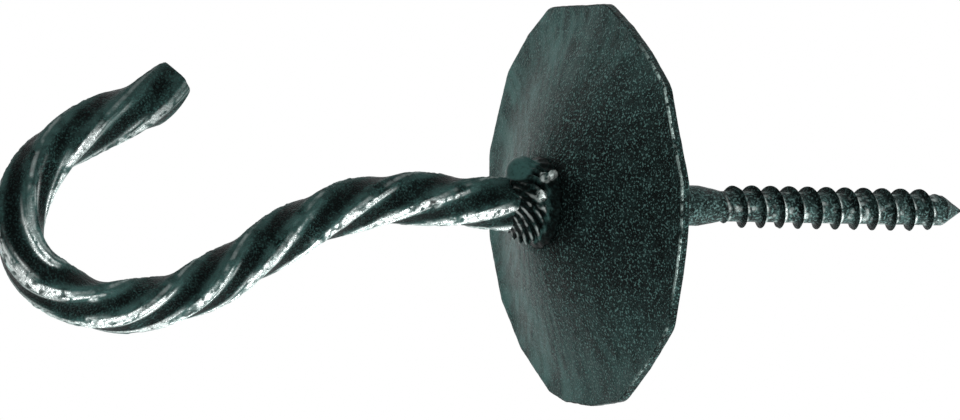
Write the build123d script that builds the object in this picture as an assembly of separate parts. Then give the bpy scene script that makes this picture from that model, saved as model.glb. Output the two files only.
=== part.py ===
from build123d import *

import os
from math import atan2, cos, degrees, radians, sin

"""Forged screw hook: a twisted square bar bent into a hook, with its upper end turned
down to a shank and cut with a wood-screw thread. A dished plate that covers the hole in
the ceiling slides over the shank and is welded on under the bar's square end.

Frame: +Z points up into the ceiling. The origin is the centre of the plate's rim, on the
plane that lies against the ceiling. The hook hangs below it, and its bends lie in the
XZ plane. Lengths are in millimetres and angles in degrees.
"""

# Square bar of the hook
bar_width = 8.0
bar_corner_flat = 1.25
bar_end_z = -16.8
bar_end_x = 0.4
bar_lean = -2.4

# Bends of the bar from the weld to the tip. A straight run has a length. A bend has a
# radius at the bar's centre and an angle, positive towards +X.
stem_length = 16.2
shoulder_radius, shoulder_angle = 49.5, 33.1
neck_length = 12.5
bowl_bends = [(44.3, -24.5), (24, -42.5), (11.4, -66), (18.1, -46.3), (54.5, -10.5)]
tip_radius, tip_angle = 80, 9.2

# The slanted cut at the tip: how far back its middle lies, and how it leans
tip_cut_back = 2.5
tip_cut_lean = -27
tip_cut_skew = 38

# Left-hand twist of the bar. It lies square to the hook's plane at the first length, and
# each further length is one quarter turn.
first_square_at = 9.1
quarter_turns = [14.9, 15.6, 15.5, 13.9, 13.4, 13.4, 20.7, 17.6]
twist_step = 12

# Dished plate
plate_thickness = 1.5
plate_rise = 8.93
plate_crown_radius = 8.6
plate_dish_radius = 32
plate_blank_radius = 45
screw_hole_gap = 0.15
rim_corner_radius = 5
# Corners of the hand-cut rim: angle from +X, and distance from the centre
rim_corners = [
    (10, 35.5), (20, 35.5), (42, 34.6), (60, 35.3), (80, 36.2), (104, 37.3), (128, 37.8),
    (143, 37.3), (157, 37.6), (190, 35.5), (205, 33.9), (218, 33.6), (233, 34.4), (264, 34.8),
    (277, 34.9), (290, 35.3), (305, 37.2), (322, 36.1), (338, 37.0), (355, 35.6),
]

# Wood screw at the bar's upper end
shank_radius = 3.6
shank_top_z = 21
neck_radius = 3.05
neck_z = 24
root_radius = 2.72
crest_radius = 3.8
thread_start_z = 25.5
thread_full_z = 28
thread_taper_z = 67.5
thread_end_z = 71
screw_tip_z = 75.5

# Weld between the bar, the plate and the screw
weld_foot_radius = 8.3
weld_neck_radius = 4.4
weld_neck_z = -17.6
ripple_count = 19
ripple_size = 4.6
ripple_width = 1.5
ripple_corner = 1.3
ripple_centre_radius = 5.1
ripple_centre_z = -12.9
lump_radius = 2.9
lump_height = 5.4
lump_corner = 1.2
lump_centre = (-5.3, -0.4, -14.4)


def twist_at(length):
    """Twist of the bar, in degrees, at a length along its centre line."""
    start, turned = first_square_at, 0
    for quarter in quarter_turns:
        if length < start + quarter or quarter is quarter_turns[-1]:
            break
        start, turned = start + quarter, turned + 90
    return turned + 90 * (length - start) / quarter


def bar_centre_line():
    """Straight runs and tangent arcs, drawn in the XZ plane."""
    heading = radians(bar_lean)
    start = Vector(bar_end_x, bar_end_z)
    pieces = [Line(start, start + Vector(sin(heading), -cos(heading)) * stem_length)]
    pieces.append(JernArc(pieces[-1] @ 1, pieces[-1] % 1, shoulder_radius, shoulder_angle))
    pieces.append(Line(pieces[-1] @ 1, (pieces[-1] @ 1) + (pieces[-1] % 1) * neck_length))
    for radius, angle in bowl_bends + [(tip_radius, tip_angle)]:
        pieces.append(JernArc(pieces[-1] @ 1, pieces[-1] % 1, radius, angle))
    return Plane.XZ * Wire([piece.edge() for piece in pieces])


def bar_plane(path, share):
    """Plane square to the bar at a share of its length, with x in the hook's plane."""
    tangent = path.tangent_at(share)
    across = tangent.cross(Vector(0, 1, 0))
    return Plane(origin=path.position_at(share), x_dir=across, z_dir=tangent)


def bar_section():
    """Square with its four corners hammered flat."""
    square = Rectangle(bar_width, bar_width)
    return chamfer(square.vertices(), bar_corner_flat)


def twisted_hook():
    """Bar lofted through sections that turn as they follow the bends, cut at a slant."""
    path = bar_centre_line()
    section = bar_section()
    count = round(twist_at(path.length) / twist_step)
    sections = []
    for share in [index / count for index in range(count + 1)]:
        turn = Rot(0, 0, -twist_at(share * path.length))
        sections.append(bar_plane(path, share) * turn * section)
    bar = loft(sections)
    level_end = split(bar, bisect_by=Plane.XY.offset(bar_end_z), keep=Keep.BOTTOM)
    waste = Pos(0, 0, bar_width) * Box(2 * bar_width, 2 * bar_width, 2 * bar_width)
    slant = Pos(0, 0, -tip_cut_back) * Rot(tip_cut_skew, tip_cut_lean, 0)
    return level_end - bar_plane(path, 1) * slant * waste


def dish_blank():
    """Dished sheet, before it is cut to its rim or drilled: crown, cone and flat brim."""
    back = Polyline(
        (0, -plate_rise), (plate_crown_radius, -plate_rise), (plate_dish_radius, 0),
        (plate_blank_radius, 0),
    )
    sheet = make_face(offset(back, plate_thickness, kind=Kind.INTERSECTION, side=Side.RIGHT))
    return revolve(Plane.XZ * sheet, Axis.Z)


def ceiling_plate():
    """Dished sheet cut to short flats round its rim, with a hole for the screw."""
    corners = [(r * cos(radians(a)), r * sin(radians(a))) for a, r in rim_corners]
    rim = make_face(Polyline(*corners, close=True))
    rim = fillet(rim.vertices(), rim_corner_radius)
    reach = plate_rise + plate_thickness
    rim_wall = extrude(rim, amount=reach, both=True)
    hole = Cylinder(shank_radius + screw_hole_gap, 2 * reach)
    return (dish_blank() & rim_wall) - hole


def screw_end():
    """Turned shank, and the screw at the width of its thread's crests, down to a point."""
    outline = Polyline(
        (0, bar_end_z), (shank_radius, bar_end_z), (shank_radius, shank_top_z),
        (neck_radius, neck_z), (root_radius, thread_start_z), (crest_radius, thread_full_z),
        (crest_radius, thread_taper_z), (root_radius, thread_end_z), (0, screw_tip_z), close=True,
    )
    return revolve(Plane.XZ * make_face(outline), Axis.Z)


def weld_mound():
    """Collar of weld metal from the plate down to the bar, with a facet for each ripple."""
    face_z = -plate_rise - plate_thickness
    height = face_z - weld_neck_z
    narrowing = degrees(atan2(weld_foot_radius - weld_neck_radius, height))
    foot = RegularPolygon(weld_foot_radius, ripple_count)
    return Pos(0, 0, face_z) * extrude(foot, amount=height, dir=(0, 0, -1), taper=narrowing)


def weld_ripple():
    """One ripple of the weld: a short block across the bead, with its outer corners cut."""
    side = Rectangle(ripple_size, ripple_size)
    side = chamfer(side.vertices(), ripple_corner)
    ripple = extrude(Plane.XZ * side, amount=ripple_width / 2, both=True)
    return Pos(ripple_centre_radius, 0, ripple_centre_z) * ripple


def weld_lump():
    """The one big drop of weld metal."""
    drop = Cylinder(lump_radius, lump_height)
    return Pos(*lump_centre) * chamfer(drop.edges().filter_by(GeomType.CIRCLE), lump_corner)


def weld_bead(bar):
    """Mound with a row of ripples and one big lump, fitted round the other pieces."""
    bead = weld_mound() + weld_lump()
    for index in range(ripple_count):
        bead += Rot(0, 0, index * 360 / ripple_count) * weld_ripple()
    return bead - bar


def main():
    bar = twisted_hook() + screw_end()
    pieces = {
        "twisted_hook": bar,
        "ceiling_plate": ceiling_plate(),
        "weld_bead": weld_bead(bar),
    }
    os.makedirs("parts", exist_ok=True)
    for name, shape in pieces.items():
        export_step(shape, f"parts/{name}.step")


if __name__ == "__main__":
    main()
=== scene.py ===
from math import atan2, ceil, cos, pi, radians, sin, tan

import bmesh
import bpy
import numpy as np
from mathutils import Matrix, Vector


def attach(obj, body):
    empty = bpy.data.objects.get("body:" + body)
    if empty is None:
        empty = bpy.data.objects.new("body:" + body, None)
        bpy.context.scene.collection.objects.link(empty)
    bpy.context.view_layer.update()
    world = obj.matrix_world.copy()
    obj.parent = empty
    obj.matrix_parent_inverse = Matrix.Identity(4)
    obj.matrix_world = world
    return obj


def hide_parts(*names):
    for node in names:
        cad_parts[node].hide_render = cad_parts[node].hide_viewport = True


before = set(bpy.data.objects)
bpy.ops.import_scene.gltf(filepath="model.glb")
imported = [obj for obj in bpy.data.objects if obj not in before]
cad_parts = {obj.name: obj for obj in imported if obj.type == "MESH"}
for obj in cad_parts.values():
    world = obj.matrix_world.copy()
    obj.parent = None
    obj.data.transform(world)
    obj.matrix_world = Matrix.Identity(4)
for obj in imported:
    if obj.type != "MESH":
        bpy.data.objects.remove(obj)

# The frame: +Z runs up along the screw, and the origin is on the plane that lies on the ceiling.
# Lengths are in millimetres and angles in degrees, unless a comment says otherwise.
# The meshes, the camera and the lamps are in metres.
MM = 0.001

# Twisted bar: the same bends and turns as the solid one. Each run is a length and no angle,
# or a bend's radius at the bar's centre and its angle, positive towards +X.
bar_width = 8.0
bar_start = (0.4, -16.8)
bar_lean = -2.4
bar_runs = [
    (16.2, 0), (49.5, 33.1), (12.5, 0), (44.3, -24.5), (24, -42.5), (11.4, -66),
    (18.1, -46.3), (54.5, -10.5), (80, 9.2),
]
first_square_at = 9.1
quarter_turns = [14.9, 15.6, 15.5, 13.9, 13.4, 13.4, 20.7, 17.6]
corner_flat = 1.25
corner_round = 0.55
tip_cut_back = 2.5
# Normal of the cut: across the bar, towards -Y, and along the bar
tip_cut_normal = (-0.4540, -0.5486, 0.7021)
bar_rows, bar_columns = 700, 120

# Forged skin of the bar
hammer_dent = 0.07
scale_relief = 0.13
flat_relief = 0.030
pit_depth = 0.24
ridge_height, ridge_width = 0.05, 0.20
ridge_from_corner, ridge_wander = 1.75, 0.30
skin_sink, corner_sink, skin_limit = 0.06, 0.05, 0.02

# Band that wear leaves on each corner of the bar; it is painted bright only where it faces +X,
# towards the key lamp, as a painted highlight
band_half_width, band_wander, band_more_at_weld = 1.22, 0.42, 0.45
drawn_line_length, drawn_line_width = 7, 0.42
# Closing rows of the cut tip: share of the way in, sink below the cut, and wear
tip_rows = [
    (0.10, 0.16, 0.8), (0.22, 0.24, 0.5), (0.45, 0.27, 0.15), (0.7, 0.26, 0.05),
    (0.9, 0.26, 0.0), (1.0, 0.26, 0.0),
]
tip_proud, tip_relief = 0.10, 0.06
tip_dullness = 0.3

# Dished plate
plate_thickness = 1.5
plate_rise = 8.93
crown_radius, crown_bend = 8.6, 3
dish_radius, brim_bend = 32, 14
hole_radius = 3.75
rim_corner_radius = 5
# Corners of the hand-cut rim: angle from +X, and distance from the centre
rim_corners = [
    (10, 35.5), (20, 35.5), (42, 34.6), (60, 35.3), (80, 36.2), (104, 37.3), (128, 37.8),
    (143, 37.3), (157, 37.6), (190, 35.5), (205, 33.9), (218, 33.6), (233, 34.4), (264, 34.8),
    (277, 34.9), (290, 35.3), (305, 37.2), (322, 36.1), (338, 37.0), (355, 35.6),
]
rim_inset = 0.02
front_edge_round, back_edge_round = 0.32, 0.16
plate_columns, front_rings, back_rings = 560, 96, 34
front_side, edge_side, back_side = 0, 1, 2

# Hammered surface of the plate
dent_relief, broad_relief, fine_relief, streak_relief = 0.16, 0.13, 0.045, 0.05
edge_bite = 0.10
dents_round_rim, streaks_round_rim, streak_length = 9, 14, 7

# Wood screw
shank_radius, shank_top_z = 3.6, 21
neck_radius, neck_z = 3.05, 24
root_radius, root_end_z, screw_tip_z = 2.72, 71, 75.5
screw_in_weld = 2.4
thread_pitch, crest_radius = 3.82, 3.8
foot_radius = 2.52
# Hollow flank of the thread: distance along the screw from the crest, and the radius there
thread_flank = [(0.04, 3.8), (0.14, 3.38), (0.34, 2.99), (0.68, 2.76), (1.10, 2.60), (1.20, 0)]
thread_start_z, thread_full_z, thread_taper_z, thread_end_z = 25.5, 28, 67.5, 71
thread_turned = -74
screw_columns = 96
# Rows of the mesh on one side of the crest, close together where the flank is steep
row_from_crest = [0, 0.02, 0.04, 0.09, 0.14, 0.23, 0.34, 0.50, 0.68, 0.90, 1.1, 1.3, 1.6]
nick_on_thread, nick_elsewhere = 0.35, 0.05
# Painted highlight: a bright line beside each crest of the thread, its distance from the crest and
# its width
highlight_line_from_crest, highlight_line_width = 0.75, 0.22

# Weld: a cone-shaped mound with ripples round it, a big lump and small blobs
mound_top_z, mound_foot_z, mound_neck_z = -10.2, -10.7, -17.6
mound_radius, mound_neck_radius = 8.2, 4.4
ripple_count, ripple_slant = 19, -0.20
ripple_centre_radius, ripple_centre_z, ripple_radius = 5.1, -12.9, 2.4
ripple_inset, ripple_half_width, ripple_swell = 0.62, 0.25, 0.58
lump_centre, lump_radius = (-5.3, -0.4, -14.4), 2.9
# Blobs: centre and radius. The first ones carry painted glints, laid on as bright metal.
glint_drops = 4
weld_blobs = [
    (-4.5, -6.1, -12.8, 0.85), (-5.0, -6.4, -11.4, 0.85), (-1.3, -6.8, -13.8, 0.75),
    (0.3, -6.9, -13.7, 0.65), (4.2, -5.2, -12.2, 0.9), (6.4, -2.2, -12.1, 0.8),
    (6.0, 2.6, -12.3, 1.0), (-6.3, 2.8, -12.4, 1.1), (0.8, 6.6, -12.2, 0.9),
]
weld_centre = (0.0, 0.0, -13.0)
weld_rows, weld_columns, search_steps = 150, 300, 90
search_radius, search_floor = 10.5, 0.5
weld_relief, crest_relief, weld_sink = 0.07, 0.10, 0.12

# Rough noise on the meshes: size, seed and number of layers
rough_sizes = {
    "hammer": (5.5, 11, 2), "bar scale": (1.0, 23, 3), "bar wear": (2.2, 5, 3),
    "bar facing": (4.0, 29, 2), "bar flat": (3.0, 61, 3), "bar sheen": (3.2, 67, 3),
    "bar soot": (6.0, 73, 2), "tip": (1.6, 77, 2),
    "plate broad": (13, 57, 2), "plate fine": (1.8, 63, 3), "plate streaks": (0.75, 107, 2),
    "plate edge": (1.4, 71, 3), "plate wear": (1.5, 83, 3), "rim wear": (7.0, 151, 2),
    "plate patches": (4.0, 97, 3),
    "screw": (1.3, 19, 3), "screw sheen": (1.1, 163, 2), "weld": (1.1, 131, 3),
}
# Smooth noise on the meshes: size and seed
smooth_sizes = {
    "band width": (4.5, 7), "ridge place": (6.0, 9), "ridge break": (7.0, 15), "pits": (0.75, 41),
    "drawn lines": (1.0, 173), "dents": (1.7, 91), "nicks": (2.3, 37), "ripples": (2.5, 139),
}

# Noise in the materials, as a count for each metre
mottle_count, grain_count, break_count, gloss_count = 330, 1700, 900, 700
# Colour of the painted shade
soot_tone = (0.0015, 0.002, 0.002)
dielectric_tint = (0.62, 1.0, 0.94)
# Specular level in the painted shade
sooty_shine = 0.04
# Metallic share of worn metal and painted highlights
wear_and_highlight_metal = 0.95

# Lamps: direction from the object, distance, width and height in metres, and watts
air_strength = 0.60
lamps = {
    "key": ((0.83, -0.38, 0.46), 0.8, 0.85, 0.24, 9.0),
    "front": ((0.25, -0.90, -0.30), 1.2, 0.3, 0.3, 1.5),
}
lamp_target = (0.005, 0, -0.03)
floor_width, floor_height = 12, -1.3
floor_tone = 0.8

# Camera: fitted to the photo's outline
view_tilt = 62
camera_distance = 1500
camera_roll = 1.1
mm_per_pixel = 0.175
picture_size = (960, 420)
origin_pixel = (592.5, 203.6)
sensor_width = 36


# Noise that roughens the meshes
def lattice_noise(points, size, seed):
    """Smooth noise from -1 to 1 at points in millimetres."""
    table = np.random.default_rng(seed).uniform(-1, 1, 4096)
    scaled = np.asarray(points, float) / size + 311.7
    cell = np.floor(scaled).astype(np.int64)
    share = scaled - cell
    share = share * share * share * (share * (share * 6 - 15) + 10)
    total = 0
    for dx in (0, 1):
        for dy in (0, 1):
            for dz in (0, 1):
                x, y, z = cell[..., 0] + dx, cell[..., 1] + dy, cell[..., 2] + dz
                value = table[((x * 73856093) ^ (y * 19349663) ^ (z * 83492791)) & 4095]
                weight = (share[..., 0] if dx else 1 - share[..., 0])
                weight = weight * (share[..., 1] if dy else 1 - share[..., 1])
                weight = weight * (share[..., 2] if dz else 1 - share[..., 2])
                total = total + value * weight
    return total


def smooth(points, name):
    """Smooth noise of a named size."""
    return lattice_noise(points, *smooth_sizes[name])


def rough(points, name):
    """Several sizes of noise laid over each other, each half the size of the one before."""
    size, seed, layers = rough_sizes[name]
    total, strength = 0, 1.0
    for layer in range(layers):
        total = total + strength * lattice_noise(points, size / 2 ** layer, seed + layer)
        strength *= 0.55
    return total / 1.6


def smooth_step(low, high, value):
    """0 at the low end, 1 at the high end and eased between them."""
    share = np.clip((value - low) / (high - low), 0, 1)
    return share * share * (3 - 2 * share)


# Making a mesh piece
def make_piece(name, vertices, faces, slot, node, **layers):
    """Mesh piece from points in millimetres that stands for a node of the solid model."""
    mesh = bpy.data.meshes.new(name)
    mesh.from_pydata((np.asarray(vertices).reshape(-1, 3) * MM).tolist(), [], faces)
    for layer_name, values in layers.items():
        layer = mesh.attributes.new(layer_name, "FLOAT", "POINT")
        layer.data.foreach_set("value", np.asarray(values, np.float32).ravel())
    work = bmesh.new()
    work.from_mesh(mesh)
    bmesh.ops.remove_doubles(work, verts=work.verts, dist=2e-7)
    bmesh.ops.recalc_face_normals(work, faces=work.faces)
    work.to_mesh(mesh)
    work.free()
    mesh.polygons.foreach_set("use_smooth", [True] * len(mesh.polygons))
    piece = bpy.data.objects.new(name, mesh)
    bpy.context.scene.collection.objects.link(piece)
    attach(piece, "root")
    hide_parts(node)
    return piece


def grid_faces(rows, columns):
    """Quads over a grid that closes on itself across its columns."""
    faces = []
    for row in range(rows - 1):
        low, high = row * columns, (row + 1) * columns
        for column in range(columns):
            following = (column + 1) % columns
            faces.append((low + column, low + following, high + following, high + column))
    return faces


def grid_normals(points):
    """Outward normals of a closed grid of rows and columns, away from each row's middle."""
    along = np.gradient(points, axis=0)
    around = (np.roll(points, -1, axis=1) - np.roll(points, 1, axis=1)) / 2
    normal = np.cross(around, along)
    normal /= np.linalg.norm(normal, axis=2, keepdims=True) + 1e-12
    outward = points - points.mean(axis=1, keepdims=True)
    sign = np.sign((normal * outward).sum(axis=2).mean())
    return normal * sign


def curve_points(start, corner, stop, shares):
    """Points of a curve that leaves start for a corner and ends at stop."""
    return [start * (1 - t) ** 2 + corner * 2 * t * (1 - t) + stop * t ** 2 for t in shares]


# The twisted bar
def bar_frames(lengths):
    """Middle of the bar and its heading from straight down towards +X, at each length."""
    x, z, heading, begun = bar_start[0], bar_start[1], radians(bar_lean), 0.0
    middle = np.zeros((len(lengths), 2))
    turned = np.zeros(len(lengths))
    for index, (size, angle) in enumerate(bar_runs):
        bend = radians(angle)
        run = size if angle == 0 else size * abs(bend)
        last = index == len(bar_runs) - 1
        inside = (lengths >= begun - 1e-9) & ((lengths <= begun + run + 1e-9) | last)
        along = lengths - begun
        if angle == 0:
            new_x, new_z = x + along * sin(heading), z - along * cos(heading)
            angles = np.full(len(lengths), heading)
            x, z = x + run * sin(heading), z - run * cos(heading)
        else:
            way = 1 if angle > 0 else -1
            final = heading + bend
            angles = heading + way * along / size
            new_x = x + way * size * (cos(heading) - np.cos(angles))
            new_z = z + way * size * (sin(heading) - np.sin(angles))
            x = x + way * size * (cos(heading) - cos(final))
            z = z + way * size * (sin(heading) - sin(final))
            heading = final
        middle[inside, 0], middle[inside, 1] = new_x[inside], new_z[inside]
        turned[inside] = angles[inside]
        begun += run
    return middle, turned, begun


def twist_at(lengths):
    """Twist of the bar in radians."""
    marks, turns = [first_square_at], [0.0]
    for quarter in quarter_turns:
        marks.append(marks[-1] + quarter)
        turns.append(turns[-1] + pi / 2)
    first = (lengths - marks[0]) / quarter_turns[0] * pi / 2
    last = turns[-1] + (lengths - marks[-1]) / quarter_turns[-1] * pi / 2
    inner = np.interp(lengths, marks, turns)
    return np.where(lengths < marks[0], first, np.where(lengths > marks[-1], last, inner))


def bar_corners():
    """Closed outline of the bar's section, with its four corners flattened and rounded."""
    half = bar_width / 2
    corners = []
    for quarter in range(4):
        turn = Matrix.Rotation(quarter * pi / 2, 2)
        corners.append(turn @ Vector((half, half - corner_flat)))
        corners.append(turn @ Vector((half - corner_flat, half)))
    points = []
    for index, corner in enumerate(corners):
        before, after = corners[index - 1], corners[(index + 1) % len(corners)]
        start = corner + (before - corner).normalized() * corner_round
        stop = corner + (after - corner).normalized() * corner_round
        points.extend(curve_points(start, corner, stop, (0, 0.25, 0.5, 0.75, 1)))
    points = np.array([tuple(point) for point in points])
    return np.vstack([points, points[:1]])


def bar_outline():
    """Points round the bar's section, and how far each lies from its nearest corner."""
    closed = bar_corners()
    run = np.concatenate([[0], np.cumsum(np.linalg.norm(np.diff(closed, axis=0), axis=1))])
    # twice as many points are laid on the corners as on the flats
    middle = (closed[1:] + closed[:-1]) / 2
    on_corner = np.abs(middle).sum(axis=1) > bar_width - 2 * corner_flat
    weight = np.diff(run) * np.where(on_corner, 2.0, 1.0)
    steps = np.concatenate([[0], np.cumsum(weight)])
    wanted = np.linspace(0, steps[-1], bar_columns, endpoint=False)
    place = np.interp(wanted, steps, run)
    section = np.stack([np.interp(place, run, closed[:, axis]) for axis in (0, 1)], axis=1)
    side = run[-1] / 4
    first_corner = corner_flat / 2 ** 0.5 + corner_round * 0.75
    from_corner = np.mod(place - first_corner + side / 2, side) - side / 2
    return section, from_corner


def bar_points(lengths, section):
    """Points of the bar: lengths is one value for each point, and section its place across."""
    middle, turned, _ = bar_frames(lengths)
    twist = twist_at(lengths)
    u = section[:, 0] * np.cos(twist) + section[:, 1] * np.sin(twist)
    v = -section[:, 0] * np.sin(twist) + section[:, 1] * np.cos(twist)
    x = middle[:, 0] + u * np.cos(turned)
    z = middle[:, 1] + u * np.sin(turned)
    return np.stack([x, -v, z], axis=1)


def tip_ends(section):
    """Length at which each strand of the section meets the slanted cut, and the cut's normal."""
    full = bar_frames(np.array([0.0]))[2]
    middle, turned, _ = bar_frames(np.array([full]))
    heading = turned[0]
    tangent = np.array([sin(heading), 0, -cos(heading)])
    across = np.array([cos(heading), 0, sin(heading)])
    near = np.array([0, -1, 0])
    origin = np.array([middle[0, 0], 0, middle[0, 1]]) - tip_cut_back * tangent
    a, b, c = tip_cut_normal
    normal = across * a + near * b + tangent * c
    low, high = np.full(len(section), full - 2 * bar_width), np.full(len(section), full + bar_width)
    for _ in range(40):
        half = (low + high) / 2
        beyond = (bar_points(half, section) - origin) @ normal > 0
        high = np.where(beyond, half, high)
        low = np.where(beyond, low, half)
    return np.minimum(low, full), normal


def bar_grid(section, ends):
    """Rows of points along the bar, whose last fifth spreads out to meet the slanted cut."""
    rows = []
    for share in np.linspace(0, 1, bar_rows):
        spread = smooth_step(0.8, 1.0, share)
        even = share * ends.mean()
        rows.append(bar_points(even * (1 - spread) + ends * share * spread, section))
    return np.array(rows)


def forged_skin(points, run, from_corner):
    """How far each point of the bar is pushed out, with its bright band, ridge and pits."""
    along = run[..., 0]
    band = band_half_width + band_wander * smooth(run, "band width")
    band = band + band_more_at_weld * smooth_step(30, 6, along)
    corner = smooth_step(0.22, -0.22, from_corner - band)
    # a second faint ridge runs beside the hammered corner
    ridge_place = ridge_from_corner + ridge_wander * smooth(run, "ridge place")
    ridge = np.exp(-((from_corner - ridge_place) / ridge_width) ** 2)
    ridge = ridge * smooth_step(-0.4, 0.2, smooth(run, "ridge break"))
    scale = rough(points, "bar scale")
    pits = np.clip(smooth(points, "pits") - 0.15, 0, 1)
    push = hammer_dent * rough(points, "hammer") - skin_sink
    push = push + corner * (scale_relief * scale - pit_depth * pits - corner_sink)
    push = push + ridge_height * ridge + (1 - corner) * flat_relief * scale
    return np.minimum(push, skin_limit), corner, ridge, pits


def cut_rows(ring, cut_normal):
    """Rows that close the cut tip: a small bevel, then the face up to its middle."""
    centre = ring.mean(axis=0)
    rows = []
    for share, sink, _ in tip_rows:
        inner = ring * (1 - share) + centre * share
        relief = tip_relief * rough(inner, "tip") * (1 - share)
        rows.append(inner + cut_normal * (tip_proud - sink + relief)[:, None])
    return np.array(rows)


def with_ends(layer, tip_values):
    """Layer of the bar with a row before it and the rows of the cut after it."""
    start = np.zeros((1, bar_columns))
    cut = np.repeat(np.array(tip_values, float)[:, None], bar_columns, axis=1)
    return np.concatenate([start, layer, cut], axis=0)


def bar_layers(points, normals, run, across, to_tip, to_cut, skin):
    """Wear with painted highlights, painted shade, and dull tone with painted sheen, of the bar's
    rows of points.
    """
    corner, ridge, pits = skin
    from_corner = np.abs(across)
    along, strand = run[..., 0], run[..., 1]
    wear_noise = rough(points, "bar wear")
    from_tip = smooth_step(2.0, 20.0, to_tip)
    # worn bright metal, painted only on the side that faces +X towards the key lamp, so partly a
    # painted highlight, in drawn lines that the pits break
    faces_key_lamp = smooth_step(-0.12, 0.30, normals[..., 0] + 0.14 * rough(points, "bar facing"))
    wear = corner * smooth_step(-0.55, 0.15, wear_noise + 0.2)
    wear = wear * (1 - 0.9 * smooth_step(0.05, 0.35, pits))
    lines = np.stack([along / drawn_line_length, strand, across / drawn_line_width], axis=2)
    wear = wear * (0.45 + 0.55 * smooth_step(-0.45, 0.05, smooth(lines, "drawn lines")))
    # a paler painted sheen beside each corner, laid on as worn metal
    beside_sheen = smooth_step(0.6, -0.4, from_corner - 1.8) * smooth_step(0.10, 0.60, wear_noise)
    wear = np.maximum(np.maximum(wear, 0.9 * ridge), 0.55 * beside_sheen)
    wear = wear * faces_key_lamp * (0.15 + 0.85 * from_tip)
    wear = wear * (1 - 0.55 * smooth_step(0.86, 0.98, normals[..., 0]))
    thin_line = 0.20 * smooth_step(0.55, 0.15, from_corner) * smooth_step(-0.5, 0.3, wear_noise)
    wear = np.maximum(wear, thin_line * (0.5 + 0.5 * from_tip))
    # painted shade darkens the middles of the flats, and painted sheen makes the parts next to the
    # corners paler
    flat_noise = rough(np.stack([along / 2.2, strand, across], axis=2), "bar flat")
    inward = smooth_step(1.3, 3.1, from_corner + 0.7 * flat_noise)
    painted_sheen = 0.75 * (1 - inward) * (0.45 + 0.55 * from_tip)
    painted_sheen = painted_sheen * smooth_step(-0.7, 0.4, rough(points, "bar sheen"))
    dull = 0.45 * smooth_step(4.0, 0.5, to_cut) * smooth_step(-0.4, 0.4, wear_noise)
    soot = 0.95 * inward * smooth_step(-0.75, 0.1, rough(points, "bar soot"))
    return wear, soot * smooth_step(0.0, 5.0, to_cut), np.maximum(dull, painted_sheen)


def forged_bar():
    """Twisted bar with its forged skin, its cut tip, its wear with painted highlights, and its
    painted shade and sheen.
    """
    section, from_corner = bar_outline()
    ends, cut_normal = tip_ends(section)
    points = bar_grid(section, ends)
    normals = grid_normals(points)
    shape = points.shape[:2]
    along = np.broadcast_to(np.linspace(0, ends.mean(), bar_rows)[:, None], shape)
    across = np.broadcast_to(from_corner, shape)
    # each strand takes its noise from another place
    strand = np.broadcast_to(np.round(np.arange(bar_columns) / bar_columns * 4) * 17.0, shape)
    run = np.stack([along, strand, 0 * along], axis=2)
    push, *skin = forged_skin(points, run, np.abs(across))
    points = points + normals * push[..., None]
    to_tip = ends.mean() - along
    to_cut = np.broadcast_to(ends, shape) - along * (ends / ends.mean())
    wear, soot, dull = bar_layers(points, normals, run, across, to_tip, to_cut, skin)
    butt = points[0] * 0.02 + points[0].mean(axis=0) * 0.98
    whole = np.concatenate([butt[None], points, cut_rows(points[-1], cut_normal)], axis=0)
    return make_piece(
        "forged_bar", whole, grid_faces(len(whole), bar_columns), "bar", "twisted_hook",
        wear=with_ends(wear, [tip_wear for _, _, tip_wear in tip_rows]),
        soot=with_ends(soot, [0 for _ in tip_rows]),
        dull=with_ends(dull, [tip_dullness for _ in tip_rows]),
    )


# The dished plate
def dish_profile():
    """Back face of the sheet as points, with the normals of its front side."""
    slope = atan2(plate_rise, dish_radius - crown_radius)
    crown_at = crown_radius - crown_bend * tan(slope / 2)
    brim_at = dish_radius + brim_bend * tan(slope / 2)
    points, normals = [(0, -plate_rise)], [(0, -1)]
    for angle in np.linspace(0, slope, 14):
        z = -plate_rise + crown_bend * (1 - cos(angle))
        points.append((crown_at + crown_bend * sin(angle), z))
        normals.append((sin(angle), -cos(angle)))
    for angle in np.linspace(slope, 0, 10):
        points.append((brim_at - brim_bend * sin(angle), -brim_bend * (1 - cos(angle))))
        normals.append((sin(angle), -cos(angle)))
    points.append((1.4 * dish_radius, 0))
    normals.append((0, -1))
    return np.array(points, float), np.array(normals, float)


def rim_radii(angles):
    """Distance of the rim from the centre at each angle, with its corners rounded."""
    corners = [np.array([r * cos(radians(a)), r * sin(radians(a))]) for a, r in rim_corners]
    outline = []
    for index, corner in enumerate(corners):
        before, after = corners[index - 1], corners[(index + 1) % len(corners)]
        back = (before - corner) / np.linalg.norm(before - corner)
        ahead = (after - corner) / np.linalg.norm(after - corner)
        bend = pi - np.arccos(np.clip(back @ ahead, -1, 1))
        cut = rim_corner_radius * tan(bend / 2)
        start, stop = corner + back * cut, corner + ahead * cut
        outline.extend(curve_points(start, corner, stop, np.linspace(0, 1, 7)))
    outline = np.array(outline)
    following = np.roll(outline, -1, axis=0)
    shares = np.linspace(0, 1, 8, endpoint=False)
    around = np.concatenate([outline * (1 - share) + following * share for share in shares])
    theta = np.mod(np.arctan2(around[:, 1], around[:, 0]), 2 * pi)
    order = np.argsort(theta)
    radius = np.hypot(around[:, 0], around[:, 1])
    return np.interp(angles, theta[order], radius[order], period=2 * pi)


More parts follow.
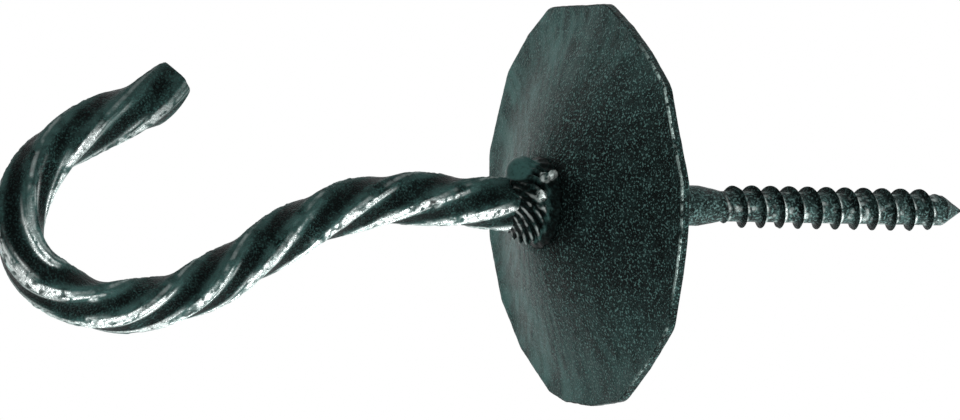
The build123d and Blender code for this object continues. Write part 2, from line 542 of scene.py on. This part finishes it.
def plate_rings(unit, rim):
    """Rings from the hole over the front face, round the edge and over the back to the hole."""
    back, outward = dish_profile()
    front = back + outward * plate_thickness
    rings, sides = [], []

    def add_ring(radius, depth, side):
        """Ring at a radius; depth 0 is on the back face and 1 is on the front face."""
        radius = np.broadcast_to(radius, plate_columns)
        z_back = np.interp(radius, back[:, 0], back[:, 1])
        z_front = np.interp(radius, front[:, 0], front[:, 1])
        z = z_back * (1 - depth) + z_front * depth
        rings.append(np.column_stack([unit * radius[:, None], z]))
        sides.append(side)

    for share in np.linspace(0, 1, front_rings) ** 0.9:
        reach = rim - front_edge_round - hole_radius
        add_ring(hole_radius + reach * share, 1, front_side)
    for angle in np.radians(np.linspace(18, 90, 5)):
        down = front_edge_round * (1 - cos(angle)) / plate_thickness
        add_ring(rim - front_edge_round * (1 - sin(angle)), 1 - down, edge_side)
    for depth in (0.62, 0.48, 0.35):
        add_ring(rim, depth, edge_side)
    for angle in np.radians(np.linspace(90, 18, 4)):
        down = back_edge_round * (1 - cos(angle)) / plate_thickness
        add_ring(rim - back_edge_round * (1 - sin(angle)), down, edge_side)
    for share in np.linspace(1, 0, back_rings):
        reach = rim - back_edge_round - hole_radius
        add_ring(hole_radius + reach * share, 0, back_side)
    add_ring(hole_radius, 0.5, back_side)
    return np.array(rings), np.array(sides)


def on_circle(unit, size, height):
    """Points on a circle of the given size, for noise that runs round the plate."""
    x, y = unit[:, 0] * size + 0 * height, unit[:, 1] * size + 0 * height
    return np.stack([x, y, height], axis=2)


def hammered_lift(points, sides, unit, rim):
    """Broad hammer dents towards the rim, a finer unevenness, and streaks from the centre."""
    radius = np.hypot(points[..., 0], points[..., 1])
    share = radius / rim
    dents = smooth(on_circle(unit, dents_round_rim, np.zeros((1, plate_columns))), "dents")
    dents = dents * smooth_step(0.45, 0.92, share)
    streaks = rough(on_circle(unit, streaks_round_rim, radius / streak_length), "plate streaks")
    lift = dent_relief * dents + broad_relief * rough(points, "plate broad")
    lift = lift + fine_relief * rough(points, "plate fine") + streak_relief * streaks + 0.01
    lift = np.where(share > 0.97, lift * 0.35, lift)
    back = sides == back_side
    lift[back] = np.clip(lift[back], -0.05, 0.0) * 0.4
    return lift, streaks


def plate_layers(points, sides, streaks):
    """Worn edge with painted highlight, painted shade, and dull tone with painted sheen, of the
    plate's rings.
    """
    x, y = points[..., 0], points[..., 1]
    on_edge = (sides == edge_side)[:, None]
    on_back = (sides == back_side)[:, None]
    wear_noise = rough(points, "plate wear")
    patches = rough(points, "plate patches")
    # the front edge is worn bright, kept to the -Y side that catches the lamps, so partly a painted
    # highlight
    ring = np.arange(len(sides))[:, None]
    front_edge = (ring >= front_rings - 1) & (ring < front_rings + 4)
    edge_wear = smooth_step(-0.5, 0.4, rough(points, "rim wear") + 0.35 * wear_noise)
    wear = np.where(front_edge, 0.8 * smooth_step(-14, -27, y) * edge_wear, 0.0)
    # painted sheen: paler towards +Y and towards the ends along X, broken into streaks
    painted_sheen = np.clip(smooth_step(-6, 20, y) + 0.45 * smooth_step(12, 30, np.abs(x)), 0, 1)
    painted_sheen = painted_sheen * (0.22 + 0.78 * smooth_step(-0.6, 0.7, 0.9 * streaks + 0.5 * patches))
    painted_sheen = painted_sheen * np.where(on_back, 0.3, 1.0)
    dull = np.where(on_edge, 0.3 * smooth_step(-0.5, 0.5, wear_noise), painted_sheen)
    # painted shadow round the weld, and painted shade darker towards -Y
    from_weld = np.hypot(x - 0.5, y + 5.5)
    from_dark_side = np.hypot(x, 0.75 * (y + 20))
    soot = np.maximum(
        0.9 * smooth_step(10.5, 5.5, from_weld + 1.6 * patches),
        0.35 * smooth_step(19, 9, from_dark_side + 2 * patches),
    )
    # the edge is darkened by a fixed 0.6 all round
    return wear, np.where(on_edge, 0.6, soot), dull


def dished_plate():
    """Dished sheet with a hammered face, a hand-cut rim, its worn edge, and its painted shade and
    sheen.
    """
    angles = np.linspace(0, 2 * pi, plate_columns, endpoint=False)
    unit = np.stack([np.cos(angles), np.sin(angles)], axis=1)
    rim = rim_radii(angles) - rim_inset
    points, sides = plate_rings(unit, rim)
    lift, streaks = hammered_lift(points, sides, unit, rim)
    points[..., 2] += lift
    bite = np.clip(edge_bite * rough(points, "plate edge") - 0.05, -0.2, 0)
    bite = np.where((sides == edge_side)[:, None], bite, 0)
    points[..., :2] += unit[None] * bite[..., None]
    layers = plate_layers(points, sides, streaks)
    # the first ring comes once more at the end, so that the skin closes in the hole
    whole, wear, soot, dull = (np.concatenate([part, part[:1]], axis=0) for part in (points, *layers))
    faces = grid_faces(len(whole), plate_columns)
    return make_piece("dished_plate", whole, faces, "plate", "ceiling_plate",
                      wear=wear, soot=soot, dull=dull)


# The wood screw
def screw_radius(z, turn):
    """Radius of the screw at a height and a share of a turn, and the distance from the crest."""
    core = np.interp(
        z,
        [bar_start[1], shank_top_z, neck_z, thread_start_z, root_end_z, screw_tip_z],
        [shank_radius, shank_radius, neck_radius, root_radius, root_radius, 0.0],
    )
    envelope = np.interp(
        z,
        [thread_start_z, thread_full_z, thread_taper_z, thread_end_z],
        [foot_radius, crest_radius, crest_radius, foot_radius],
    )
    envelope = np.where((z < thread_start_z) | (z > thread_end_z), 0, envelope)
    phase = np.mod((z - thread_start_z) / thread_pitch - turn + 0.5, 1) - 0.5
    from_crest = phase * thread_pitch
    flank = np.interp(np.abs(from_crest), *zip(*thread_flank))
    return np.maximum(core, np.minimum(envelope, flank)), from_crest


def screw_heights(low_z, top_z, turn):
    """Height of each point: rows run along the thread, so that its crest is clean."""
    half = np.array(row_from_crest)
    offsets = np.concatenate([half, thread_pitch - half[:0:-1]])
    first = thread_start_z - thread_pitch * (ceil((thread_start_z - low_z) / thread_pitch) + 1)
    turns = ceil((top_z - first) / thread_pitch) + 1
    rows = np.concatenate([first + k * thread_pitch + offsets for k in range(turns)])
    heights = rows[:, None] + thread_pitch * turn[None, :]
    return np.clip(heights, low_z, top_z), len(offsets)


def screw_faces(z, rows_in_turn, low_z, top_z):
    """Quads between the rows, where each row's end joins the row that lies a turn further."""
    rows, columns = z.shape
    faces = []
    for row in range(rows - 1):
        for column in range(columns):
            following, ahead = column + 1, row
            if following == columns:
                following, ahead = 0, row + rows_in_turn
            if ahead + 1 >= rows:
                continue
            corners = [(row, column), (ahead, following), (ahead + 1, following), (row + 1, column)]
            heights = [z[place] for place in corners]
            if max(heights) <= low_z + 1e-6 or min(heights) >= top_z - 1e-6:
                continue
            faces.append(tuple(place[0] * columns + place[1] for place in corners))
    return faces


def roughen_screw(points, radius, from_crest, top_z):
    """Scale the rows in or out with a fine roughness and with nicks in the thread."""
    z = points[..., 2]
    unevenness = rough(points, "screw")
    on_thread = (z > thread_start_z) & (np.abs(from_crest) < 0.5)
    push = np.where(on_thread, 0.018 * unevenness - 0.012, 0.03 * unevenness - 0.03)
    nick = np.clip(smooth(points, "nicks") - 0.45, 0, 1)
    nick = nick * np.where(on_thread, nick_on_thread, nick_elsewhere)
    at_tip = z >= top_z - 1e-6
    scale = 1 + (push - nick) / np.maximum(radius, 0.6)
    points[..., :2] *= np.where(at_tip, 0, scale)[..., None]
    return unevenness


def screw_layers(points, from_crest, unevenness):
    """Painted highlights and painted shade of the screw: a bright line beside each crest, pale
    patches between the crests, and painted shade on the crest.
    """
    z, away = points[..., 2], np.abs(from_crest)
    threaded = (z > thread_start_z) & (z < thread_end_z)
    # painted highlight on one flank of each crest, pale painted sheen between the crests, and painted
    # shade on the crest
    line = np.exp(-((from_crest - highlight_line_from_crest) / highlight_line_width) ** 2)
    line = line * smooth_step(-0.5, 0.5, unevenness)
    painted_sheen = 0.40 * smooth_step(0.20, 0.75, rough(points, "screw sheen"))
    wear = np.maximum(line, painted_sheen * smooth_step(0.5, 0.8, away))
    soot = 0.6 * smooth_step(0.85, 0.45, away)
    return np.where(threaded, wear, 0.0), np.where(threaded, soot, 0.0)


def close_lower_end(piece):
    """Cap over the open end of the screw, which lies in the weld."""
    work = bmesh.new()
    work.from_mesh(piece.data)
    open_edges = [edge for edge in work.edges if edge.is_boundary]
    bmesh.ops.holes_fill(work, edges=open_edges, sides=0)
    bmesh.ops.recalc_face_normals(work, faces=work.faces)
    work.to_mesh(piece.data)
    work.free()
    piece.data.polygons.foreach_set("use_smooth", [True] * len(piece.data.polygons))


def wood_screw():
    """Screw from inside the weld to its point, with its thread."""
    low_z, top_z = bar_start[1] + screw_in_weld, screw_tip_z
    turn = np.arange(screw_columns) / screw_columns
    z, rows_in_turn = screw_heights(low_z, top_z, turn)
    radius, from_crest = screw_radius(z, np.broadcast_to(turn, z.shape))
    angle = 2 * pi * turn + radians(thread_turned)
    points = np.stack([radius * np.cos(angle), radius * np.sin(angle), z], axis=2)
    unevenness = roughen_screw(points, radius, from_crest, top_z)
    wear, soot = screw_layers(points, from_crest, unevenness)
    faces = screw_faces(z, rows_in_turn, low_z, top_z)
    used = sorted({index for face in faces for index in face})
    renumber = {old: new for new, old in enumerate(used)}
    faces = [tuple(renumber[index] for index in face) for face in faces]
    piece = make_piece("wood_screw_body", points.reshape(-1, 3)[used], faces, "bar", "twisted_hook",
                       wear=wear.ravel()[used], soot=soot.ravel()[used])
    close_lower_end(piece)
    return piece


# The weld
def polygon_distance(x, y, corners):
    """Signed distance to a convex outline in two dimensions, below 0 inside."""
    distance = np.full(x.shape, -1e9)
    middle = np.mean(corners, axis=0)
    for index, (ax, ay) in enumerate(corners):
        bx, by = corners[(index + 1) % len(corners)]
        nx, ny = by - ay, ax - bx
        size = np.hypot(nx, ny)
        nx, ny = nx / size, ny / size
        if (middle[0] - ax) * nx + (middle[1] - ay) * ny > 0:
            nx, ny = -nx, -ny
        distance = np.maximum(distance, (x - ax) * nx + (y - ay) * ny)
    return distance


def ball_distance(points, centre, radius):
    """Signed distance to a ball, below 0 inside."""
    return np.linalg.norm(points - np.array(centre), axis=-1) - radius


def soft_union(a, b, blend):
    """Smaller of two distances, with the crease between them filled."""
    share = np.clip(0.5 + 0.5 * (b - a) / blend, 0, 1)
    return b * (1 - share) + a * share - blend * share * (1 - share)


def ripple_turn(points):
    """Angle round the screw, slanted as the ripples are."""
    slant = ripple_slant * (points[..., 2] - ripple_centre_z)
    return np.arctan2(points[..., 1], points[..., 0]) + slant


def weld_distance(points):
    """Signed distance of the weld metal: mound, ripples, big lump and small blobs."""
    radius, z = np.hypot(points[..., 0], points[..., 1]), points[..., 2]
    mound = polygon_distance(radius, z, [
        (0, mound_top_z), (mound_radius, mound_top_z), (mound_radius, mound_foot_z),
        (mound_neck_radius, mound_neck_z), (0, mound_neck_z),
    ]) + 0.12
    step = 2 * pi / ripple_count
    from_ripple = (np.mod(ripple_turn(points) + step / 2, step) - step / 2) * np.maximum(radius, 1)
    out = np.hypot(radius - ripple_centre_radius, z - ripple_centre_z)
    ripple = np.hypot(
        np.maximum(out - (ripple_radius - ripple_inset), 0),
        np.maximum(np.abs(from_ripple) - ripple_half_width, 0),
    ) - ripple_swell
    whole = soft_union(mound, ripple, 0.35)
    whole = soft_union(whole, ball_distance(points, lump_centre, lump_radius - 0.05), 0.5)
    for *centre, size in weld_blobs:
        whole = soft_union(whole, ball_distance(points, centre, size), 0.3)
    return whole


def weld_reach(centre, ray):
    """Distance from the centre to the weld's skin along each ray."""
    reach = np.full(ray.shape[:2], search_radius)
    for _ in range(search_steps):
        distance = weld_distance(centre + ray * reach[..., None])
        reach = np.maximum(reach - 0.55 * np.clip(distance, -0.4, 0.6), search_floor)
    return reach


def weld_layers(points, z, crest, unevenness, off_lump):
    """Painted glints and highlights, painted shade and dull tone of the weld. The heights are those
    of the skin without relief.
    """
    x = points[..., 0]
    # painted glints on the first blobs as bright metal, and a painted highlight on the crests of the
    # lit side
    gaps = [ball_distance(points, blob[:3], blob[3]) for blob in weld_blobs[:glint_drops]]
    drop_glint = smooth_step(0.45, 0.05, np.min(gaps, axis=0))
    lit_side = smooth_step(-3.5, 1.0, x + 2.0 * unevenness) * smooth_step(-12.9, -13.4, z)
    bright_crest = 0.36 * smooth_step(0.6, 1.1, crest + 0.6 * unevenness) * lit_side
    wear = np.maximum(0.8 * drop_glint * smooth_step(-0.3, 0.5, unevenness), bright_crest)
    # a paler band runs round under the ripples' tops on the +X side, painted light where that ridge
    # catches it, and the lump is dull all over
    band = smooth_step(0.55, 0.20, np.abs(z + 12.6)) * smooth_step(-3.0, -1.0, x)
    dull = np.maximum(1 - off_lump, 0.8 * band * smooth_step(-0.8, 0.2, unevenness))
    # painted shade lies at the foot, at the neck, in a ring between them and in the valleys
    soot = np.maximum(smooth_step(-12.2, -11.7, z), smooth_step(-14.4, -15.4, z))
    soot = np.maximum(soot, smooth_step(0.35, 0.1, np.abs(z + 13.3)))
    soot = np.maximum(soot, smooth_step(0.5, -0.4, crest))
    return wear, soot * (1 - drop_glint) * off_lump * (1 - dull), dull


def weld_metal():
    """Weld as one skin, found along rays from the middle of the mound."""
    angles = np.linspace(0, 2 * pi, weld_columns, endpoint=False)
    tilts = np.linspace(0.004, pi - 0.004, weld_rows)
    tilt, angle = np.meshgrid(tilts, angles, indexing="ij")
    ray = np.stack([np.sin(tilt) * np.cos(angle), np.sin(tilt) * np.sin(angle), np.cos(tilt)], axis=2)
    centre = np.array(weld_centre)
    reach = weld_reach(centre, ray)
    skin = centre + ray * reach[..., None]
    unevenness = rough(skin, "weld")
    off_lump = smooth_step(0.2, 1.0, ball_distance(skin, lump_centre, lump_radius))
    crest = np.cos(ripple_count * ripple_turn(skin) + 0.7 * smooth(skin, "ripples")) * off_lump
    reach = reach + weld_relief * unevenness * off_lump + crest_relief * crest - weld_sink
    points = centre + ray * reach[..., None]
    wear, soot, dull = weld_layers(points, skin[..., 2], crest, unevenness, off_lump)
    top, bottom = range(weld_columns), range((weld_rows - 1) * weld_columns, weld_rows * weld_columns)
    faces = grid_faces(weld_rows, weld_columns) + [tuple(top), tuple(reversed(bottom))]
    return make_piece("weld_metal", points, faces, "weld", "weld_bead",
                      wear=wear, soot=soot, dull=dull)


# Materials
def add_node(tree, kind, **values):
    """Shader node with its sockets set by name."""
    node = tree.nodes.new(kind)
    for name, value in values.items():
        socket = name.replace("_", " ")
        if socket in node.inputs:
            node.inputs[socket].default_value = value
        else:
            setattr(node, name, value)
    return node


def noise(tree, where, count, detail, roughness):
    """Value of a noise texture with so many waves for each metre."""
    node = add_node(tree, "ShaderNodeTexNoise", Scale=count, Detail=detail, Roughness=roughness)
    tree.links.new(where, node.inputs["Vector"])
    return node.outputs["Fac"]


def ramp(tree, factor, stops):
    """Grey ramp from a list of places and values."""
    node = tree.nodes.new("ShaderNodeValToRGB")
    for element, (place, value) in zip(node.color_ramp.elements, stops):
        element.position = place
        element.color = (value, value, value, 1)
    tree.links.new(factor, node.inputs["Fac"])
    return node.outputs["Color"]


def mixed(tree, factor, first, second):
    """One colour laid over another by a factor. A single number stands for a grey."""
    node = tree.nodes.new("ShaderNodeMix")
    node.data_type = "RGBA"
    tree.links.new(factor, node.inputs["Factor"])
    for socket, value in ((node.inputs["A"], first), (node.inputs["B"], second)):
        if isinstance(value, (int, float)):
            value = (value, value, value)
        if isinstance(value, tuple):
            socket.default_value = (*value, 1)
        else:
            tree.links.new(value, socket)
    return node.outputs["Result"]


def product(tree, first, second):
    """Two values multiplied."""
    node = add_node(tree, "ShaderNodeMath", operation="MULTIPLY")
    tree.links.new(first, node.inputs[0])
    tree.links.new(second, node.inputs[1])
    return node.outputs[0]


def layer_value(tree, name):
    """Value of a named layer of the mesh."""
    attribute = tree.nodes.new("ShaderNodeAttribute")
    attribute.attribute_name = name
    return attribute.outputs["Fac"]


def iron_tone(tree, where, wear, soot, dark, pale, wear_and_highlight_tone, grain_tone, grain_size, specks, dull_tone):
    """Colour of the iron: mottled scale, dull patches with painted sheen, painted shade, pale specks,
    and worn metal with painted highlights.
    """
    mottle = ramp(tree, noise(tree, where, mottle_count, 5, 0.62), [(0.40, 0.0), (0.62, 1.0)])
    grain = ramp(tree, noise(tree, where, grain_count, 3, 0.6), [(0.42, 0.25), (0.62, 1.0)])
    tone = mixed(tree, product(tree, mottle, grain), dark, pale)
    tone = mixed(tree, layer_value(tree, "dull"), tone, dull_tone)
    tone = mixed(tree, soot, tone, soot_tone)
    speck = ramp(tree, noise(tree, where, grain_size, 2, 0.5), [(specks[0], 0.0), (specks[1], 1.0)])
    fewer_in_soot = ramp(tree, soot, [(0.0, 1.0), (1.0, 0.25)])
    tone = mixed(tree, product(tree, speck, fewer_in_soot), tone, grain_tone)
    return mixed(tree, wear, tone, wear_and_highlight_tone)


def black_iron(name, dark, pale, wear_and_highlight_tone, gloss, grain_tone, grain_size, bump_size, wear_break,
               dull_tone, wear_and_highlight_gloss, specular, specks):
    """Forge-blackened iron: dark scale, pale mottling, fine grain, polished worn edges and painted
    highlights, and the painted shade and sheen of the mesh layers.
    """
    material = bpy.data.materials.new(name)
    material.use_nodes = True
    tree = material.node_tree
    tree.nodes.clear()
    where = tree.nodes.new("ShaderNodeTexCoord").outputs["Object"]
    soot = layer_value(tree, "soot")
    broken = noise(tree, where, break_count, 4, 0.65)
    broken = ramp(tree, broken, [(wear_break, 0.0), (wear_break + 0.12, 1.0)])
    wear = product(tree, layer_value(tree, "wear"), broken)
    tone = iron_tone(tree, where, wear, soot, dark, pale, wear_and_highlight_tone, grain_tone, grain_size, specks,
                     dull_tone)
    roughness = noise(tree, where, gloss_count, 3, 0.6)
    roughness = ramp(tree, roughness, [(0.3, gloss), (0.75, gloss + 0.22)])
    bump = add_node(tree, "ShaderNodeBump", Strength=1.0, Distance=bump_size)
    tree.links.new(noise(tree, where, grain_size, 2, 0.6), bump.inputs["Height"])
    shader = tree.nodes.new("ShaderNodeBsdfPrincipled")
    shader.inputs["Specular Tint"].default_value = (*dielectric_tint, 1)
    shine = mixed(tree, soot, specular, sooty_shine)
    tree.links.new(shine, shader.inputs["Specular IOR Level"])
    tree.links.new(tone, shader.inputs["Base Color"])
    tree.links.new(mixed(tree, wear, roughness, wear_and_highlight_gloss), shader.inputs["Roughness"])
    tree.links.new(mixed(tree, wear, 0.0, wear_and_highlight_metal), shader.inputs["Metallic"])
    tree.links.new(bump.outputs["Normal"], shader.inputs["Normal"])
    output = tree.nodes.new("ShaderNodeOutputMaterial")
    tree.links.new(shader.outputs["BSDF"], output.inputs["Surface"])
    return material


def bar_iron():
    return black_iron(
        "bar_iron", dark=(0.0015, 0.003, 0.003), pale=(0.022, 0.048, 0.044),
        wear_and_highlight_tone=(0.93, 1.0, 0.98), gloss=0.30, grain_tone=(0.036, 0.090, 0.083), grain_size=2600,
        bump_size=0.00030, wear_break=0.31, dull_tone=(0.058, 0.118, 0.110), wear_and_highlight_gloss=0.20,
        specular=0.04, specks=(0.50, 0.70),
    )


def plate_iron():
    return black_iron(
        "plate_iron", dark=(0.0015, 0.003, 0.003), pale=(0.020, 0.046, 0.043),
        wear_and_highlight_tone=(0.66, 0.85, 0.80), gloss=0.26, grain_tone=(0.15, 0.30, 0.28), grain_size=2700,
        bump_size=0.00070, wear_break=0.40, dull_tone=(0.09, 0.20, 0.185), wear_and_highlight_gloss=0.35,
        specular=0.12, specks=(0.55, 0.67),
    )


def screw_iron():
    return black_iron(
        "screw_iron", dark=(0.002, 0.0025, 0.0025), pale=(0.042, 0.078, 0.074),
        wear_and_highlight_tone=(0.80, 0.90, 0.87), gloss=0.30, grain_tone=(0.11, 0.20, 0.19), grain_size=2400,
        bump_size=0.00030, wear_break=0.30, dull_tone=(0.045, 0.064, 0.060), wear_and_highlight_gloss=0.28,
        specular=0.08, specks=(0.50, 0.68),
    )


def weld_iron():
    return black_iron(
        "weld_iron", dark=(0.0015, 0.003, 0.003), pale=(0.020, 0.045, 0.042),
        wear_and_highlight_tone=(0.80, 0.90, 0.87), gloss=0.26, grain_tone=(0.030, 0.070, 0.065), grain_size=2200,
        bump_size=0.00006, wear_break=0.34, dull_tone=(0.042, 0.105, 0.097), wear_and_highlight_gloss=0.18,
        specular=0.10, specks=(0.48, 0.70),
    )


# Surroundings, light and camera
def white_world():
    """White for the camera and in what shiny faces show, and a plain even light on the rest."""
    world = bpy.data.worlds.new("white")
    bpy.context.scene.world = world
    world.use_nodes = True
    tree = world.node_tree
    tree.nodes.clear()
    path = tree.nodes.new("ShaderNodeLightPath")
    seen_by = path.outputs["Is Camera Ray"]
    for ray in ("Is Glossy Ray", "Is Transmission Ray"):
        either = add_node(tree, "ShaderNodeMath", operation="MAXIMUM")
        tree.links.new(seen_by, either.inputs[0])
        tree.links.new(path.outputs[ray], either.inputs[1])
        seen_by = either.outputs[0]
    lit = add_node(tree, "ShaderNodeBackground", Color=(1, 1, 1, 1), Strength=air_strength)
    seen = add_node(tree, "ShaderNodeBackground", Color=(1, 1, 1, 1), Strength=1.0)
    mix = tree.nodes.new("ShaderNodeMixShader")
    tree.links.new(seen_by, mix.inputs[0])
    tree.links.new(lit.outputs[0], mix.inputs[1])
    tree.links.new(seen.outputs[0], mix.inputs[2])
    output = tree.nodes.new("ShaderNodeOutputWorld")
    tree.links.new(mix.outputs[0], output.inputs["Surface"])


def floor_below():
    """Wide pale floor far below the object and the camera."""
    bpy.ops.mesh.primitive_plane_add(size=floor_width, location=(0, 0, floor_height))
    floor = bpy.context.object
    floor.name = "pale_floor"
    material = bpy.data.materials.new("pale_floor")
    material.use_nodes = True
    shader = material.node_tree.nodes["Principled BSDF"]
    shader.inputs["Base Color"].default_value = (floor_tone, floor_tone, floor_tone, 1)
    shader.inputs["Roughness"].default_value = 0.9
    floor.data.materials.append(material)


def soft_light(name, direction, distance, width, height, power):
    """Soft light that faces the middle of the object, as wide and high as given."""
    data = bpy.data.lights.new(name, "AREA")
    data.shape = "RECTANGLE"
    data.size, data.size_y = width, height
    data.energy = power
    lamp = bpy.data.objects.new(name, data)
    bpy.context.scene.collection.objects.link(lamp)
    away = Vector(direction).normalized()
    lamp.location = Vector(lamp_target) + away * distance
    lamp.rotation_mode = "QUATERNION"
    lamp.rotation_quaternion = away.to_track_quat("Z", "Y")


def fitted_camera():
    """Camera as fitted to the photo: below the plate, looking up at it from the side."""
    tilt, roll = radians(view_tilt), radians(camera_roll)
    forward = Vector((0, sin(tilt), cos(tilt)))
    level_right = Vector((0, -cos(tilt), sin(tilt)))
    level_down = Vector((1, 0, 0))
    right = level_right * cos(roll) - level_down * sin(roll)
    down = level_right * sin(roll) + level_down * cos(roll)
    focal_pixels = camera_distance / mm_per_pixel
    shift_right = (origin_pixel[0] - picture_size[0] / 2) / focal_pixels
    shift_down = (origin_pixel[1] - picture_size[1] / 2) / focal_pixels
    place = -camera_distance * (forward + right * shift_right + down * shift_down)
    data = bpy.data.cameras.new("camera")
    data.sensor_width = sensor_width
    data.lens = focal_pixels * sensor_width / picture_size[0]
    data.clip_start, data.clip_end = 0.05, 30
    camera = bpy.data.objects.new("camera", data)
    bpy.context.scene.collection.objects.link(camera)
    turn = Matrix((right, -down, -forward)).transposed()
    camera.matrix_world = Matrix.Translation(place * MM) @ turn.to_4x4()
    bpy.context.scene.camera = camera


# The scene
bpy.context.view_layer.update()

for build_piece, make_material in (
    (forged_bar, bar_iron), (dished_plate, plate_iron), (wood_screw, screw_iron),
    (weld_metal, weld_iron),
):
    build_piece().data.materials.append(make_material())

white_world()
floor_below()
for lamp_name, lamp_values in lamps.items():
    soft_light(lamp_name, *lamp_values)
fitted_camera()
bpy.context.scene.view_settings.view_transform = "Standard"
